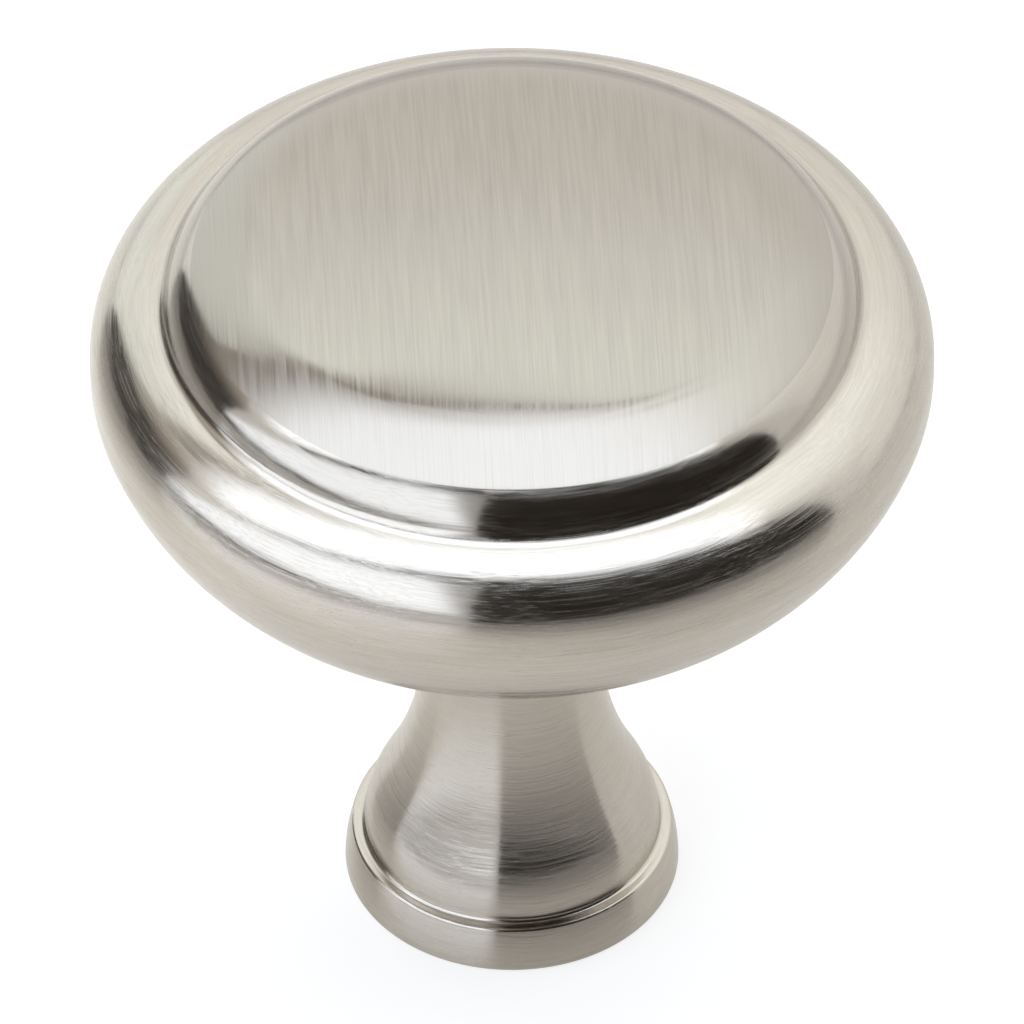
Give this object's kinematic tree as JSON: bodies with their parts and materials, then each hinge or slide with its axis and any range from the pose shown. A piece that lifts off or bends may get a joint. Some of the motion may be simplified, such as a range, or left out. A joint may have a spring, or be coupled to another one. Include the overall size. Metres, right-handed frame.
{
  "type": "cabinet knob",
  "caption": "Round cabinet knob with a crowned, stepped head on a waisted stem and small foot, tapped from behind for one machine screw.",
  "frame": {"origin": "centre of the foot's flat face, which seats against the drawer or door front", "axes": "+Z along the knob's axis, from the foot towards the crown of the head"},
  "size_m": [0.032, 0.032, 0.0325],
  "materials": {
    "satin_nickel": "satin nickel plate, brushed along the cap and round the rim, stem and foot"
  },
  "bodies": {
    "root": {"knob": "satin_nickel"}
  },
  "joints": []
}
